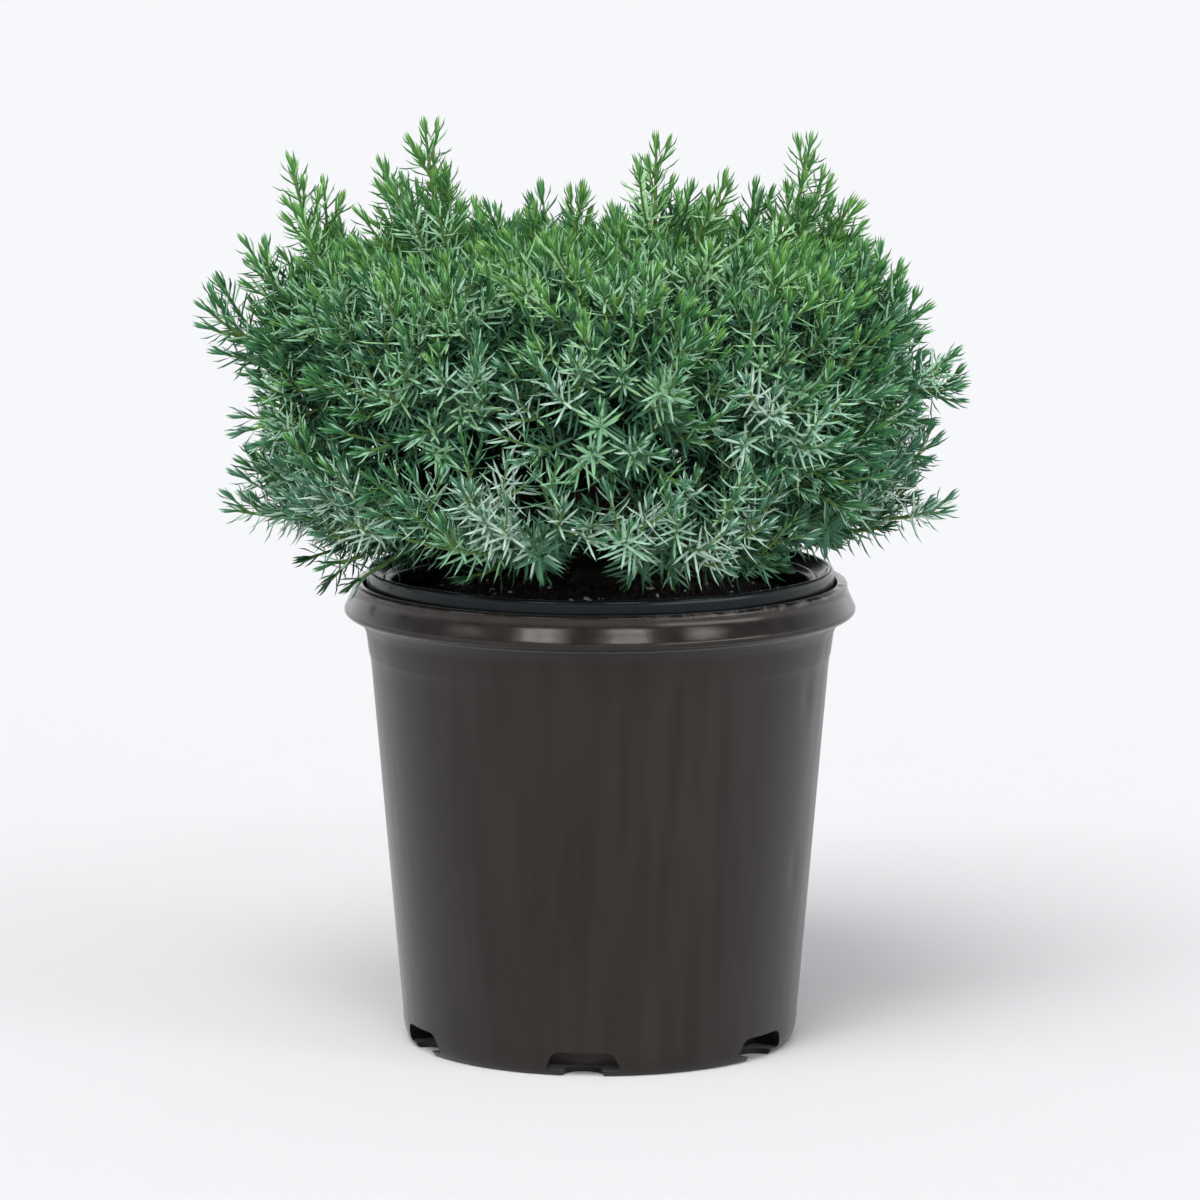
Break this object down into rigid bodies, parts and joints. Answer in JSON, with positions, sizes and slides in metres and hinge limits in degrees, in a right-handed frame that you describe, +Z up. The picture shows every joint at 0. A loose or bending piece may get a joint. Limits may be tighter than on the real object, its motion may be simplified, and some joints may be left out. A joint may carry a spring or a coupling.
{
  "type": "potted juniper",
  "caption": "Low dense garden juniper with short needled shoots, standing in a round black nursery pot with a beaded liner pot inside.",
  "frame": {"origin": "middle of the flat pad under the pot, on the surface that the pot stands on", "axes": "+Z up, -Y towards the front view, +X to the right seen from the front"},
  "size_m": [0.2436, 0.2239, 0.296],
  "materials": {
    "pot_plastic": "brown-black moulded plastic, satin wall and glossier rolled collar",
    "liner_plastic": "blue-black thin moulded plastic",
    "potting_mix": "dark composted bark with white grains",
    "bark": "red-brown flaking bark",
    "needles": "blue-green needles with a silver inner face and yellow-green young tips"
  },
  "bodies": {
    "root": {"liner": "liner_plastic", "low_bough_1": "bark", "low_bough_2": "bark", "low_bough_3": "bark", "low_bough_4": "bark", "low_bough_6": "bark", "low_bough_7": "bark", "low_bough_8": "bark", "low_bough_9": "bark", "low_foliage_1": "needles", "low_foliage_2": "needles", "low_foliage_3": "needles", "low_foliage_4": "needles", "low_foliage_6": "needles", "low_foliage_7": "needles", "low_foliage_8": "needles", "low_foliage_9": "needles", "middle_bough_1": "bark", "middle_bough_2": "bark", "middle_bough_3": "bark", "middle_bough_4": "bark", "middle_bough_5": "bark", "middle_bough_6": "bark", "middle_bough_7": "bark", "middle_bough_8": "bark", "middle_foliage_1": "needles", "middle_foliage_2": "needles", "middle_foliage_3": "needles", "middle_foliage_4": "needles", "middle_foliage_5": "needles", "middle_foliage_6": "needles", "middle_foliage_7": "needles", "middle_foliage_8": "needles", "pot": "pot_plastic", "potting_mix": "potting_mix", "stem": "bark", "top_bough_1": "bark", "top_bough_2": "bark", "top_foliage_1": "needles", "top_foliage_2": "needles", "upper_bough_1": "bark", "upper_bough_2": "bark", "upper_bough_3": "bark", "upper_bough_4": "bark", "upper_bough_5": "bark", "upper_bough_6": "bark", "upper_foliage_1": "needles", "upper_foliage_2": "needles", "upper_foliage_3": "needles", "upper_foliage_4": "needles", "upper_foliage_5": "needles", "upper_foliage_6": "needles"}
  },
  "joints": []
}
